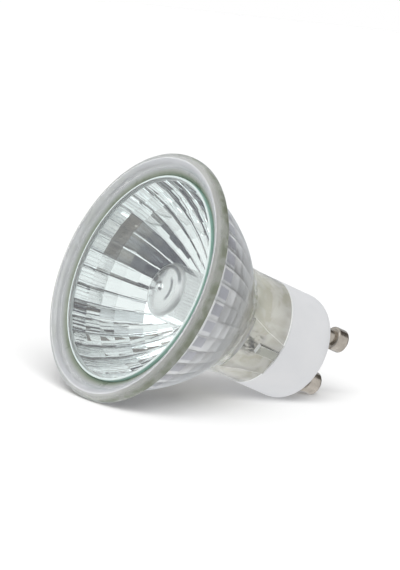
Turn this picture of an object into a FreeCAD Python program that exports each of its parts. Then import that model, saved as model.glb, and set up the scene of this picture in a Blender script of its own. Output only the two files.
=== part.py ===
import FreeCAD, Part
import math
import os

# Mains spotlight lamp with a pressed glass reflector and a two-pin twist-and-lock base.
# Millimetres. The lamp stands on its front rim: Z = 0 is the rim's front plane, +Z runs along
# the lamp's axis to the contact pins, and X is the line through the two pins.

# Rim of the reflector
rim_diameter = 50.0
rim_height = 2.2
rim_front_round = 1.35
rim_back_round = 0.3
rim_band_width = 1.9
flange_overhang = 2.85

# Front glass and the bead that holds it in the rim
bead_width = 2.4
cover_thickness = 1.6
cover_recess = 1.35
cover_proud = 0.5
cover_edge_chamfer = 0.2
cover_edge_gap = 0.35
cover_seat_width = 1.1
bead_front_depth = 1.2

# Glass bowl, outside
bowl_bulge = 1.9
waist_diameter = 22.2
waist_height = 21.3
waist_round = 1.6
root_round = 0.5

# Mirror facets, inside the bowl
facet_columns = 36
facet_rings = 8
facet_bulge = 2.6
throat_diameter = 12.8
throat_height = 20.2

# Glass neck
neck_diameter = 21.3
neck_taper_length = 5.5
shoulder_height = 31.7
neck_bore_diameter = 12.0
spigot_length = 3.8
flat_depth_at_waist = 1.5
flat_depth_at_base = 0.6
flat_setback = 1.6
flat_turn_deg = 8.0
key_width = 1.9
key_length = 4.8
key_inset = 0.25
key_offset = 0.85

# Ceramic base
base_height = 11.9
base_end_round = 3.4
base_mouth_round = 0.25
socket_wall = 1.75
base_end_wall = 4.2
cement_gap = 0.6

# Contact pins
pin_spacing = 10.0
pin_projection = 7.5
pin_head_diameter = 4.7
pin_head_height = 2.8
pin_head_round = 0.45
pin_shank_diameter = 3.0
pin_rivet_diameter = 2.5
pin_flange_diameter = 3.6
pin_flange_thickness = 0.5
pin_bore_diameter = 1.1
pin_tip_wall = 3.6
pin_hole_clearance = 0.05

# Quartz burner
capsule_diameter = 11.4
capsule_wall = 0.9
capsule_front_height = 7.7
capsule_tube_end = 19.2
dome_rise = 1.7
dome_edge_round = 1.8
exhaust_tip_diameter = 2.4
exhaust_tip_length = 0.7
pinch_width = 8.6
pinch_thickness = 3.2
pinch_setback = 0.5
pinch_edge_round = 0.5
burner_cement_setback = 6.0

# Current path inside the burner
lead_spacing = 4.8
inner_lead_diameter = 0.5
inner_lead_reach = 1.7
foil_width = 1.8
foil_thickness = 0.12
foil_length = 5.0
foil_cover = 3.3
outer_lead_diameter = 0.8
lead_bend_length = 4.0
lead_entry = 0.9
lead_end_clearance = 0.5

# Filament and its support
coil_diameter = 1.1
filament_wire = 0.26
coil_pitch = 1.1
coil_half_turns = 9
coil_tail = 0.5
bridge_rise = 0.9
filament_knot = 0.32
hook_clearance = 0.08
support_diameter = 0.4
support_root_depth = 2.0

# Derived places
rim_radius = rim_diameter / 2
bowl_root_radius = rim_radius - flange_overhang
mouth_radius = rim_radius - rim_band_width
cover_radius = mouth_radius - bead_width
seat_height = cover_recess + cover_thickness
seat_radius = cover_radius + cover_edge_gap
aperture_radius = seat_radius - cover_seat_width
neck_radius = neck_diameter / 2
waist_radius = waist_diameter / 2
bore_radius = neck_bore_diameter / 2
throat_radius = throat_diameter / 2
flat_start_height = waist_height + flat_setback
burner_cement_front = throat_height + burner_cement_setback
base_radius = neck_radius
socket_radius = base_radius - socket_wall
spigot_radius = socket_radius - cement_gap
spigot_end = shoulder_height + spigot_length
base_end = shoulder_height + base_height
socket_floor = base_end - base_end_wall
capsule_radius = capsule_diameter / 2
cavity_radius = capsule_radius - capsule_wall
cavity_end = capsule_tube_end - capsule_wall
pinch_end_height = shoulder_height - pinch_setback
foil_start = pinch_end_height - foil_cover - foil_length
inner_lead_end = cavity_end - inner_lead_reach
lead_bend_end = socket_floor - pin_flange_thickness - lead_entry
lead_bend_start = lead_bend_end - lead_bend_length
lead_x = lead_spacing / 2
pin_x = pin_spacing / 2
coil_radius = (coil_diameter - filament_wire) / 2
far_reach = rim_diameter

ORIGIN = FreeCAD.Vector(0, 0, 0)
X_AXIS = FreeCAD.Vector(1, 0, 0)
Z_AXIS = FreeCAD.Vector(0, 0, 1)


def point(radius, height):
    """A point of a turned profile, in the XZ plane."""
    return FreeCAD.Vector(radius, 0, height)


def line(start, end):
    return Part.LineSegment(start, end).toShape()


def arc(start, middle, end):
    return Part.Arc(start, middle, end).toShape()


def bulged(start, end, sagitta):
    """The middle of an arc that stands off its chord by the sagitta, away from the axis."""
    chord = end.sub(start)
    outward = FreeCAD.Vector(chord.z, 0, -chord.x).normalize()
    return start.add(end).multiply(0.5).add(outward.multiply(sagitta))


def quarter(centre, radius, angle_deg):
    """A point on a small circle of a profile, used as the middle of a quarter round."""
    angle = math.radians(angle_deg)
    return point(centre.x + radius * math.cos(angle), centre.z + radius * math.sin(angle))


def turned(edges):
    """Revolve a closed profile about the lamp's axis."""
    return Part.Face(Part.Wire(edges)).revolve(ORIGIN, Z_AXIS, 360)


def turned_outline(points):
    """Revolve a profile of straight edges about the lamp's axis."""
    closed = points + points[:1]
    return turned([line(a, b) for a, b in zip(closed, closed[1:])])


def rod(radius, low, high, x=0.0):
    """An upright round bar from one height to another."""
    return Part.makeCylinder(radius, high - low, FreeCAD.Vector(x, 0, low), Z_AXIS)


def block(width, depth, low, high, x=0.0):
    """An upright box centred on the line y = 0."""
    corner = FreeCAD.Vector(x - width / 2, -depth / 2, low)
    return Part.makeBox(width, depth, high - low, corner)


def circle_edges(shape, radius, height):
    """The round edges of a turned solid at one radius and height."""
    found = []
    for edge in shape.Edges:
        spot = edge.Vertexes[0].Point
        level = abs(edge.BoundBox.ZLength) < 1e-6 and abs(spot.z - height) < 1e-6
        if level and abs(math.hypot(spot.x, spot.y) - radius) < 1e-6:
            found.append(edge)
    return found


def half_turn(shape):
    """A copy turned half a turn about the lamp's axis."""
    copy = shape.copy()
    copy.rotate(ORIGIN, Z_AXIS, 180)
    return copy


def one_solid(shape):
    solids = shape.removeSplitter().Solids
    if len(solids) != 1:
        raise ValueError("expected one solid, found %d" % len(solids))
    return solids[0]


# Reflector: one pressing with the rim, the bowl, the neck and its spigot
def recess_radius(height):
    """Radius of the sloped wall round the front glass at a height."""
    return mouth_radius + (seat_radius - mouth_radius) * height / seat_height


def reflector_blank():
    rim_back = point(rim_radius - rim_back_round, rim_height)
    root = point(bowl_root_radius, rim_height)
    waist = point(waist_radius, waist_height)
    neck_top = point(neck_radius, waist_height + neck_taper_length)
    front_centre = point(rim_radius - rim_front_round, rim_front_round)
    back_centre = point(rim_radius - rim_back_round, rim_height - rim_back_round)
    front_edge = point(rim_radius - rim_front_round, 0)
    land_front = point(rim_radius, rim_front_round)
    land_back = point(rim_radius, rim_height - rim_back_round)
    shoulder = point(neck_radius, shoulder_height)
    spigot_root = point(spigot_radius, shoulder_height)
    spigot_tip = point(spigot_radius, spigot_end)
    axis_tip = point(0, spigot_end)
    blank = turned([
        line(ORIGIN, front_edge),
        arc(front_edge, quarter(front_centre, rim_front_round, -45), land_front),
        line(land_front, land_back),
        arc(land_back, quarter(back_centre, rim_back_round, 45), rim_back),
        line(rim_back, root),
        arc(root, bulged(root, waist, bowl_bulge), waist),
        line(waist, neck_top),
        line(neck_top, shoulder),
        line(shoulder, spigot_root),
        line(spigot_root, spigot_tip),
        line(spigot_tip, axis_tip),
        line(axis_tip, ORIGIN),
    ])
    blank = blank.makeFillet(waist_round, circle_edges(blank, waist_radius, waist_height))
    return blank.makeFillet(root_round, circle_edges(blank, bowl_root_radius, rim_height))


def facet_ring(radius, height):
    """A regular polygon with one side for each column of facets."""
    corners = []
    for column in range(facet_columns + 1):
        angle = 2 * math.pi * column / facet_columns
        corners.append(FreeCAD.Vector(radius * math.cos(angle), radius * math.sin(angle), height))
    corners[-1] = corners[0]
    return Part.makePolygon(corners)


def faceted_cavity():
    """The space inside the bowl: rings of flat facets stepped along an arc to the throat."""
    start = point(aperture_radius, seat_height)
    end = point(throat_radius, throat_height)
    curve = Part.Arc(start, bulged(start, end, facet_bulge), end).toShape()
    steps = curve.discretize(facet_rings + 1)
    rings = [facet_ring(step.x, step.z) for step in steps]
    return Part.makeLoft(rings, True, True)


def neck_flat_cutter():
    """What is taken off one side of the neck, leaving a raised key at the base end."""
    shallow = neck_radius - flat_depth_at_base
    deep = neck_radius - flat_depth_at_waist
    corners = [
        FreeCAD.Vector(-neck_radius, deep, flat_start_height),
        FreeCAD.Vector(-neck_radius, shallow, shoulder_height),
        FreeCAD.Vector(-neck_radius, far_reach, shoulder_height),
        FreeCAD.Vector(-neck_radius, far_reach, flat_start_height),
    ]
    side = Part.Face(Part.makePolygon(corners + corners[:1]))
    cutter = side.extrude(FreeCAD.Vector(neck_diameter, 0, 0))
    key_corner = FreeCAD.Vector(key_offset - key_width / 2, 0, shoulder_height - key_length)
    key = Part.makeBox(key_width, neck_radius - key_inset, key_length, key_corner)
    cutter = cutter.cut(key)
    cutter.rotate(ORIGIN, Z_AXIS, flat_turn_deg)
    return cutter


def reflector():
    recess = turned_outline([ORIGIN, point(mouth_radius, 0), point(seat_radius, seat_height),
                             point(0, seat_height)])
    bore = rod(bore_radius, throat_height, spigot_end)
    flat = neck_flat_cutter()
    cuts = [recess, faceted_cavity(), bore, flat, half_turn(flat)]
    body = reflector_blank()
    for cut in cuts:
        body = body.cut(cut)
    return one_solid(body)


# Front glass and its bead of sealant
def front_glass():
    disc = rod(cover_radius, cover_recess, seat_height)
    return disc.makeChamfer(cover_edge_chamfer, circle_edges(disc, cover_radius, cover_recess))


def front_glass_sealant():
    return turned_outline([
        point(cover_radius, seat_height),
        point(cover_radius, cover_recess + cover_proud),
        point(recess_radius(bead_front_depth), bead_front_depth),
        point(seat_radius, seat_height),
    ])


# Ceramic base: a cup with a rounded end and two holes for the contact pins
def ceramic_base():
    cup = turned_outline([
        point(socket_radius, shoulder_height),
        point(base_radius, shoulder_height),
        point(base_radius, base_end),
        point(0, base_end),
        point(0, socket_floor),
        point(socket_radius, socket_floor),
    ])
    cup = cup.makeFillet(base_end_round, circle_edges(cup, base_radius, base_end))
    cup = cup.makeFillet(base_mouth_round, circle_edges(cup, base_radius, shoulder_height))
    hole = rod(pin_rivet_diameter / 2 + pin_hole_clearance, socket_floor, base_end, pin_x)
    return one_solid(cup.cut(hole).cut(half_turn(hole)))


# Contact pin: a turned rivet with a mushroom head, staked inside the base
def contact_pin():
    head_start = base_end + pin_projection - pin_head_height
    tip = base_end + pin_projection
    flange_low = socket_floor - pin_flange_thickness
    flange = rod(pin_flange_diameter / 2, flange_low, socket_floor, pin_x)
    rivet = rod(pin_rivet_diameter / 2, socket_floor, base_end, pin_x)
    shank = rod(pin_shank_diameter / 2, base_end, head_start, pin_x)
    head = rod(pin_head_diameter / 2, head_start, tip, pin_x)
    head = head.makeFillet(pin_head_round, [e for e in head.Edges if e.BoundBox.ZLength < 1e-6])
    bore = rod(pin_bore_diameter / 2, flange_low, tip - pin_tip_wall, pin_x)
    return one_solid(flange.fuse([rivet, shank, head]).cut(bore))


# Wires of the current path, one side of the lamp
def inner_lead():
    return rod(inner_lead_diameter / 2, inner_lead_end, foil_start, lead_x)


def foil():
    return block(foil_width, foil_thickness, foil_start, foil_start + foil_length, lead_x)


def outer_lead():
    """From the foil out of the pinch, across to the pin's line and up its bore."""
    start = point(lead_x, foil_start + foil_length)
    bend_low = point(lead_x, lead_bend_start)
    bend_high = point(pin_x, lead_bend_end)
    end = point(pin_x, base_end + pin_projection - pin_tip_wall - lead_end_clearance)
    crossing = bend_high.sub(bend_low)
    turn = 2 * math.atan2(abs(crossing.x), crossing.z)
    bend_radius = crossing.z / (2 * math.sin(turn))
    side = math.copysign(1, crossing.x)
    middle = bend_low.add(bend_high).multiply(0.5)
    offset_x = side * bend_radius * (1 - math.cos(turn / 2))
    offset_z = bend_radius * math.sin(turn / 2)
    path = Part.Wire([
        line(start, bend_low),
        arc(bend_low, point(bend_low.x + offset_x, bend_low.z + offset_z), middle),
        arc(middle, point(bend_high.x - offset_x, bend_high.z - offset_z), bend_high),
        line(bend_high, end),
    ])
    section = Part.Wire(Part.makeCircle(outer_lead_diameter / 2, start, Z_AXIS))
    return path.makePipeShell([section], True, True)


# Filament: two coiled legs joined by a bridge that hangs in the support's hook
def coil_height():
    return coil_half_turns * coil_pitch / 2


def bridge_height():
    return inner_lead_end - coil_tail - coil_height() - bridge_rise


def filament_leg():
    radius = filament_wire / 2
    coil_x = lead_x - coil_radius
    coil_start = inner_lead_end - coil_tail
    coil_end = coil_start - coil_height()
    helix = Part.makeHelix(coil_pitch, coil_height(), coil_radius)
    section = Part.Wire(Part.makeCircle(radius, FreeCAD.Vector(coil_radius, 0, 0), FreeCAD.Vector(0, 1, 0)))
    coil = Part.Wire(helix).makePipeShell([section], True, True)
    coil.rotate(ORIGIN, Z_AXIS, 180 * coil_half_turns)
    coil.translate(FreeCAD.Vector(coil_x, 0, coil_end))
    end_x = coil_x + coil_radius * (-1) ** coil_half_turns
    tail = rod(radius, coil_start, inner_lead_end, lead_x)
    riser = rod(radius, bridge_height(), coil_end, end_x)
    bridge = Part.makeCylinder(radius, end_x, FreeCAD.Vector(0, 0, bridge_height()), X_AXIS)
    corners = [point(lead_x, coil_start), point(end_x, coil_end), point(end_x, bridge_height())]
    knots = [Part.makeSphere(filament_knot / 2, corner) for corner in corners]
    leg = coil
    for piece in knots + [tail, riser, bridge]:
        leg = leg.fuse(piece)
    return leg


def filament():
    leg = filament_leg()
    return one_solid(leg.fuse(half_turn(leg)))


def filament_support():
    radius = support_diameter / 2
    hook_radius = filament_wire / 2 + hook_clearance + radius
    centre = FreeCAD.Vector(0, 0, bridge_height())
    hook = Part.makeTorus(hook_radius, radius, centre, X_AXIS)
    stem = rod(radius, bridge_height() + hook_radius, capsule_tube_end + support_root_depth)
    return one_solid(hook.fuse(stem))


# Quartz burner: domed tube with an exhaust tip, pressed flat round the foils
def dome_bend(radius):
    """Radius of the sphere that a shallow dome on a bar of this radius is part of."""
    return (radius ** 2 + dome_rise ** 2) / (2 * dome_rise)


def dome_height(front, radius, reach):
    """Height of the dome's surface at a distance from the axis."""
    bend = dome_bend(radius)
    return front + bend - math.sqrt(bend ** 2 - reach ** 2)


def domed_bar(radius, front, edge_round, rear):
    """A round bar whose front end is a shallow dome with a rounded edge."""
    apex = point(0, front)
    corner = point(radius, front + dome_rise)
    rear_edge = point(radius, rear)
    rear_centre = point(0, rear)
    middle = point(radius / 2, dome_height(front, radius, radius / 2))
    bar = turned([
        arc(apex, middle, corner),
        line(corner, rear_edge),
        line(rear_edge, rear_centre),
        line(rear_centre, apex),
    ])
    return bar.makeFillet(edge_round, circle_edges(bar, radius, front + dome_rise))


def burner_envelope(embedded):
    outside = domed_bar(capsule_radius, capsule_front_height, dome_edge_round, capsule_tube_end)
    tip_radius = exhaust_tip_diameter / 2
    tip_root = dome_height(capsule_front_height, capsule_radius, tip_radius)
    tip_end = capsule_front_height - exhaust_tip_length
    tip = Part.makeCone(tip_radius, tip_radius / 3, tip_root - tip_end,
                        FreeCAD.Vector(0, 0, tip_root), FreeCAD.Vector(0, 0, -1))
    pinch = block(pinch_width, pinch_thickness, cavity_end, pinch_end_height)
    pinch = pinch.makeFillet(pinch_edge_round, [e for e in pinch.Edges if e.BoundBox.ZLength > 1.0])
    cavity_front = capsule_front_height + capsule_wall
    hollow = domed_bar(cavity_radius, cavity_front, dome_edge_round - capsule_wall, cavity_end)
    quartz = outside.fuse([tip, pinch]).cut(hollow)
    return one_solid(quartz.cut(embedded))


# Cement: one mass round the pinch in the neck, one that beds the neck in the base
def burner_cement(embedded):
    plug = rod(bore_radius, burner_cement_front, spigot_end)
    return one_solid(plug.cut(embedded))


def base_cement(embedded):
    fill = turned_outline([
        point(spigot_radius, shoulder_height),
        point(socket_radius, shoulder_height),
        point(socket_radius, socket_floor),
        point(0, socket_floor),
        point(0, spigot_end),
        point(spigot_radius, spigot_end),
    ])
    return one_solid(fill.cut(embedded))


def build():
    pins = [contact_pin()]
    pins.append(half_turn(pins[0]))
    inner_leads = [inner_lead()]
    inner_leads.append(half_turn(inner_leads[0]))
    foils = [foil()]
    foils.append(half_turn(foils[0]))
    outer_leads = [outer_lead()]
    outer_leads.append(half_turn(outer_leads[0]))
    support = filament_support()
    sealed_in = inner_leads + foils + outer_leads + [support]
    envelope = burner_envelope(sealed_in)
    nodes = {
        "reflector": reflector(),
        "front_glass": front_glass(),
        "front_glass_sealant": front_glass_sealant(),
        "ceramic_base": ceramic_base(),
        "burner_envelope": envelope,
        "filament": filament(),
        "filament_support": support,
        "burner_cement": burner_cement([envelope] + sealed_in),
        "base_cement": base_cement(pins + outer_leads),
    }
    for side, number in (("a", 0), ("b", 1)):
        nodes["contact_pin_" + side] = pins[number]
        nodes["inner_lead_" + side] = inner_leads[number]
        nodes["foil_" + side] = foils[number]
        nodes["outer_lead_" + side] = outer_leads[number]
    return nodes


os.makedirs("parts", exist_ok=True)
for name, shape in build().items():
    shape.exportStep("parts/" + name + ".step")
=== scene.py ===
import math
import random

import bpy
from mathutils import Matrix, Vector


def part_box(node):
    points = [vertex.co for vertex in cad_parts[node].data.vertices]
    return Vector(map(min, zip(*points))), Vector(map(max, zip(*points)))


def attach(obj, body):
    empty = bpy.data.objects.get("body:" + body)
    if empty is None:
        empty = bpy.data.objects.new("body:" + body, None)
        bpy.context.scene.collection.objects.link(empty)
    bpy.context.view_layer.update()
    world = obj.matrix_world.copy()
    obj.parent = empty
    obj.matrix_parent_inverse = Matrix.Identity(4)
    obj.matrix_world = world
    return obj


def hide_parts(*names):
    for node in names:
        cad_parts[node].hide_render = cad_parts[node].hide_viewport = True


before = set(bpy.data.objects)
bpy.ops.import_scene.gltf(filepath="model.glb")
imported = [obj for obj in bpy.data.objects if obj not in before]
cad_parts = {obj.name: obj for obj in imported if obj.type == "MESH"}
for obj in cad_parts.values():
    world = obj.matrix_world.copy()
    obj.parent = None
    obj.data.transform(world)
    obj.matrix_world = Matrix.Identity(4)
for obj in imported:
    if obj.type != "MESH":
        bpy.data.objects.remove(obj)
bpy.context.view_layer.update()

# A mains spotlight bulb, in metres, in the frame of its solids: the front rim stands on Z = 0,
# +Z runs along the bulb's axis to the contact pins, and X is the line through the two pins.
MM = 0.001

# Where the photograph was taken from
PHOTO_WIDTH = 400
PHOTO_HEIGHT = 570
VIEW_OFF_AXIS = math.radians(55.65)
AXIS_SLOPE = math.radians(24.26)
PIN_TURN = math.radians(75.83)
CAMERA_DISTANCE = 0.8
PIXELS_PER_METRE = 5278.0
ORIGIN_PIXEL_X = 132.15
ORIGIN_PIXEL_Y = 274.73
SENSOR_SIDE = 36.0
CLIP_START = 0.01

# How the bulb lies on the table
LYING_TILT = math.radians(20.1)
CAMERA_HEIGHT_ANGLE = math.radians(9.0)
FLOOR_DROP = 24.0 * MM
FLOOR_SIDE = 1.6

# Light of the floor and the surroundings
FLOOR_WHITE = 0.53
FLOOR_GLOW = 0.03
SUN_LIGHT = 0.53
SUN_LEAN = math.radians(48)
SUN_TURN = math.radians(-1)
SUN_SOFTNESS = math.radians(50)
WORLD_FILL = 0.88

# Sizes read from the solids
RIM_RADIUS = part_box("reflector")[1].x
SPIGOT_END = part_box("reflector")[1].z
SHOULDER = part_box("ceramic_base")[0].z
NECK_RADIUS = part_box("ceramic_base")[1].x
COVER_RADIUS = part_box("front_glass")[1].x
COVER_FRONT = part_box("front_glass")[0].z
COVER_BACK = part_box("front_glass")[1].z
BEAD_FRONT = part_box("front_glass_sealant")[0].z
BEAD_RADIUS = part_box("front_glass_sealant")[1].x
BORE_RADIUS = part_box("burner_cement")[1].x
CAPSULE_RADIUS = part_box("burner_envelope")[1].x
EXHAUST_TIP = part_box("burner_envelope")[0].z
PINCH_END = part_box("burner_envelope")[1].z

# Points, angles and faces that differ by less than these are taken as the same
POINT_SLACK = 1e-6
ANGLE_SLACK = 1e-4
FACE_SLACK = 0.01 * MM

# Share of a face's normal along the axis, below which it faces sideways and above which endways
SIDE_FACING = 0.5
END_FACING = 0.9

# Reflector
ROUND_STEPS = 360
RIM_HEIGHT = 2.2 * MM
RIM_FRONT_ROUND = 1.35 * MM
RIM_BACK_ROUND = 0.3 * MM
MOUTH_RADIUS = 23.1 * MM
MOUTH_ROUND = 0.7 * MM
SEAT_RADIUS = 21.05 * MM
APERTURE_RADIUS = 19.95 * MM
BOWL_ROOT_RADIUS = 22.15 * MM
BOWL_ROOT_ROUND = 0.3 * MM
BOWL_BULGE = 1.9 * MM
BOWL_STEPS = 26
WAIST_RADIUS = 11.1 * MM
WAIST_HEIGHT = 21.3 * MM
WAIST_ROUND = 0.9 * MM
NECK_TAPER = 5.5 * MM
NECK_INSIDE = BORE_RADIUS + 2 * MM
COLLAR_WIDTH = 0.25 * MM
COLLAR_DEPTH = 0.1 * MM
SPIGOT_RADIUS = 8.3 * MM
THROAT_RADIUS = 6.4 * MM
THROAT_HEIGHT = 20.2 * MM
REFLECTOR_CREASE = 25
BOND = 0.03 * MM

# Facets of the reflector and the film on them
FACET_BULGE = 2.6 * MM
FACET_COLUMNS = 36
FACET_RINGS = 8
COLUMN_TURN = 2 * math.pi / FACET_COLUMNS
FACET_CROWN = math.radians(4.5)
FILM_INSIDE = 0.98 * THROAT_RADIUS
GROOVE_SLOPE = math.radians(20)
GROOVE_START = 0.79
GROOVE_HALF_WIDTH = 0.06 * MM
GROOVE_COMPANION = 0.13
TILT_SPREAD = 0.02
TILT_SEED = 5
LILAC_RING = 1
# Columns whose facets swing about the bulb's axis, and how far
FACET_SWINGS = {15: -0.30, 16: -0.30, 17: -0.28, 18: 0.10, 19: 0.10, 20: 0.10, 21: 0.08, 22: 0.03,
                29: 0.04, 30: 0.10, 31: 0.13, 32: 0.17, 33: 0.21, 34: 0.25}
# Cells of the film by column and ring that carry a painted dark reflection, and how dark each is
DARK_REFLECTION_CELLS = {(26, 0): 0.2, (27, 0): 0.3, (28, 0): 0.15, (26, 1): 0.75, (27, 1): 0.85, (28, 1): 0.9}

# Flats on the neck, each with a raised key at the base end
FLAT_DEPTH_AT_WAIST = 1.5 * MM
FLAT_DEPTH_AT_BASE = 0.6 * MM
FLAT_START = 22.9 * MM
FLAT_TURN = math.radians(8.0)
FLAT_CUT_WIDTH = 2.2 * NECK_RADIUS
FLAT_CUT_REACH = 6.0 * MM
FLAT_CUT_PAST = 0.1 * MM
KEY_WIDTH = 1.9 * MM
KEY_LENGTH = 4.8 * MM
KEY_INSET = 0.25 * MM
KEY_OFFSET = 0.85 * MM
FLAT_EDGE_ANGLE = math.radians(14)
FLAT_EDGE_ROUND = 0.18 * MM
FLAT_EDGE_LOW = FLAT_START - 0.05 * MM
FLAT_EDGE_HIGH = SHOULDER - 0.2 * MM

# Front glass and its sealant
COVER_CHAMFER = 0.12 * MM
COVER_PROUD = 0.9 * MM
COVER_CREASE = 30
ARRIS_WIDTH = 0.42 * MM
BEAD_HOLLOW = 0.14 * MM
BEAD_STEPS = 6
BEAD_CREASE = 35
BEAD_OLIVE_WIDTH = 0.7 * MM

# Quartz capsule: domed tube drawn out to an exhaust tip, flattened into the pinch at its other end
CAPSULE_STEPS = 120
CAPSULE_WALL = 0.9 * MM
CAPSULE_FRONT = EXHAUST_TIP + 0.7 * MM
CAPSULE_CREASE = 40
DOME_RISE = 1.7 * MM
DOME_EDGE_ROUND = 1.8 * MM
DOME_STEPS = 10
TUBE_END = 17.6 * MM
EXHAUST_RADIUS = 1.2 * MM
HOLLOW_TOP_RADIUS = 0.1 * MM
PINCH_HALF_WIDTH = 4.3 * MM
PINCH_HALF_THICKNESS = 1.6 * MM
PINCH_RUN = 3.6 * MM
PINCH_STEPS = 8
# Exhaust tip: distance off the axis and height from its end, in millimetres
TIP_PROFILE = [(0.1, 0), (0.4, 0.05), (0.65, 0.2), (0.82, 0.42), (0.98, 0.62)]
# End of the hollow: share of the bore's radius, and height from the tube's end in millimetres
HOLLOW_PROFILE = [(1, -1.2), (0.93, -0.3), (0.75, 0.4), (0.4, 0.7)]

# Where finishes change from one to another: ranges of height, or of a flat's distance from the axis
BOWL_STAIN = (14 * MM, 20 * MM)
RIM_STAIN = (0.15 * MM, 1.0 * MM)
FLAT_SHOWS = (8.2 * MM, 8.6 * MM)
DOME_FRONT = (9.2 * MM, 9.8 * MM)
# Windows of a finish, in height or across a flat: low end, high end and fade
CRUMPLE_ACROSS = (-1.6 * MM, 4.0 * MM, 1.4 * MM)
CRUMPLE_ALONG = (23.4 * MM, 27.8 * MM, 1.2 * MM)
KEY_ACROSS = (KEY_OFFSET - KEY_WIDTH / 2, KEY_OFFSET + KEY_WIDTH / 2, 0.2 * MM)
KEY_ALONG = (SHOULDER - KEY_LENGTH, SHOULDER + 1 * MM, 0.3 * MM)
# Painted shade along one edge of each key
KEY_SHADE_BORDER = (KEY_ACROSS[1] - 0.1 * MM, KEY_ACROSS[1] + 0.2 * MM, 0.1 * MM)
DOME_BEND = (8.4 * MM, 9.8 * MM, 0.5 * MM)
# Painted arcs for the capsule's inner wall seen by refraction: distance off the axis, half width,
# heading and spread
CAPSULE_REFRACTION_ARCS = [(4.6 * MM, 0.45 * MM, math.radians(-5), math.radians(58)),
                (3.1 * MM, 0.35 * MM, math.radians(67), math.radians(50))]

# Finishes of the glass
GLASS_IOR = 1.51
QUARTZ_IOR = 1.46
QUARTZ_WHITE = (0.985, 0.985, 0.985)
QUARTZ_METALLIC = 0.7
QUARTZ_ROUGHNESS = (0.16, 0.5)
# Reliefs: scale of the swell, scale of the grain, share of the grain
PRESSED_RELIEF = (220, 900, 0.2)
POLISHED_RELIEF = (60, 300, 0.1)
QUARTZ_RELIEF = (260, 900, 0.2)
GROUND_RELIEF = (400, 2500, 0.5)
WIRE_RELIEF = (2000, 9000, 0.5)

# Material slots of the reflector's faces and of the front glass's faces
BOWL_FACE, FILM_FACE, RIM_FACE, MOUTH_FACE, EDGE_HIGHLIGHT_FACE, NECK_FACE, LEDGE_FACE = range(7)
DISC_FACE, GROUND_FACE, ARRIS_FACE = range(3)


def place(radius, height):
    """A point of a turned profile: distance from the axis, height along it."""
    return Vector((radius, height))


def bulged_arc(start, end, sagitta, steps):
    """Points of an arc that stands off its chord by the sagitta, away from the axis."""
    chord = end - start
    outward = Vector((chord.y, -chord.x)).normalized()
    radius = chord.length_squared / (8 * sagitta) + sagitta / 2
    centre = (start + end) / 2 + outward * (sagitta - radius)
    first = math.atan2(start.y - centre.y, start.x - centre.x)
    last = math.atan2(end.y - centre.y, end.x - centre.x)
    points = []
    for step in range(steps + 1):
        angle = first + (last - first) * step / steps
        points.append(centre + radius * Vector((math.cos(angle), math.sin(angle))))
    return points


# Modelling helpers
def finish_object(name):
    """Name the object that was just added."""
    piece = bpy.context.object
    piece.name = name
    piece.data.name = name
    return piece


def activate(piece):
    """Select this object alone and make it the active one."""
    bpy.ops.object.select_all(action="DESELECT")
    piece.select_set(True)
    bpy.context.view_layer.objects.active = piece


def turn_profile(name, profile, steps, joined):
    """Extrude a ring from point to point of a profile, and bridge its ends or cap them."""
    radius, height = profile[0]
    bpy.ops.mesh.primitive_circle_add(vertices=steps, radius=radius, location=(0, 0, height))
    piece = finish_object(name)
    bpy.ops.object.transform_apply(location=True)
    bpy.ops.object.mode_set(mode="EDIT")
    bpy.ops.mesh.select_all(action="SELECT")
    for before, after in zip(profile, profile[1:]):
        bpy.ops.mesh.extrude_edges_move(TRANSFORM_OT_translate={"value": (0, 0, after.y - before.y)})
        ratio = after.x / before.x
        bpy.ops.transform.resize(value=(ratio, ratio, 1))
    bpy.ops.mesh.select_all(action="DESELECT")
    bpy.ops.mesh.select_mode(type="EDGE")
    bpy.ops.mesh.select_non_manifold()
    if joined:
        bpy.ops.mesh.bridge_edge_loops()
    else:
        bpy.ops.mesh.edge_face_add()
    bpy.ops.mesh.select_all(action="SELECT")
    bpy.ops.mesh.normals_make_consistent(inside=False)
    bpy.ops.object.mode_set(mode="OBJECT")
    return piece


def pick_ring(piece, ring):
    """Select the round edges that lie at this place of the profile."""
    mesh = piece.data
    chosen = set()
    for vertex in mesh.vertices:
        spot = place(vertex.co.xy.length, vertex.co.z)
        if (spot - ring).length < POINT_SLACK:
            chosen.add(vertex.index)
    for vertex in mesh.vertices:
        vertex.select = False
    for polygon in mesh.polygons:
        polygon.select = False
    for edge in mesh.edges:
        first, second = [mesh.vertices[index].co for index in edge.vertices]
        level = abs(first.z - second.z) < POINT_SLACK
        same = abs(first.xy.length - second.xy.length) < POINT_SLACK
        edge.select = all(index in chosen for index in edge.vertices) and level and same


def round_ring(piece, ring, offset, segments):
    """Bevel the round edges at this place of the profile."""
    pick_ring(piece, ring)
    bpy.ops.object.mode_set(mode="EDIT")
    bpy.ops.mesh.bevel(offset=offset, segments=segments, affect="EDGES")
    bpy.ops.object.mode_set(mode="OBJECT")


def give_material(piece, *materials):
    piece.data.materials.clear()
    for material in materials:
        piece.data.materials.append(material)


def smooth(piece, degrees):
    activate(piece)
    bpy.ops.object.shade_smooth_by_angle(angle=math.radians(degrees))


def apply_modifier(piece, kind, **settings):
    activate(piece)
    modifier = piece.modifiers.new(kind.title(), kind)
    for key, value in settings.items():
        setattr(modifier, key, value)
    bpy.ops.object.modifier_apply(modifier=modifier.name)


# Material helpers
def new_material(name):
    material = bpy.data.materials.new(name)
    material.use_nodes = True
    return material, material.node_tree


def empty_tree(owner):
    """The node tree of a new material or world, emptied."""
    owner.use_nodes = True
    owner.node_tree.nodes.clear()
    return owner.node_tree


def shader_socket(tree, label):
    """A socket of the material's main shader."""
    return tree.nodes["Principled BSDF"].inputs[label]


def feed(tree, socket, value):
    """Link a socket to another one, or give it a plain value."""
    if isinstance(value, bpy.types.NodeSocket):
        tree.links.new(value, socket)
    elif socket.type == "RGBA":
        socket.default_value = (*value, 1)
    else:
        socket.default_value = value


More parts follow.
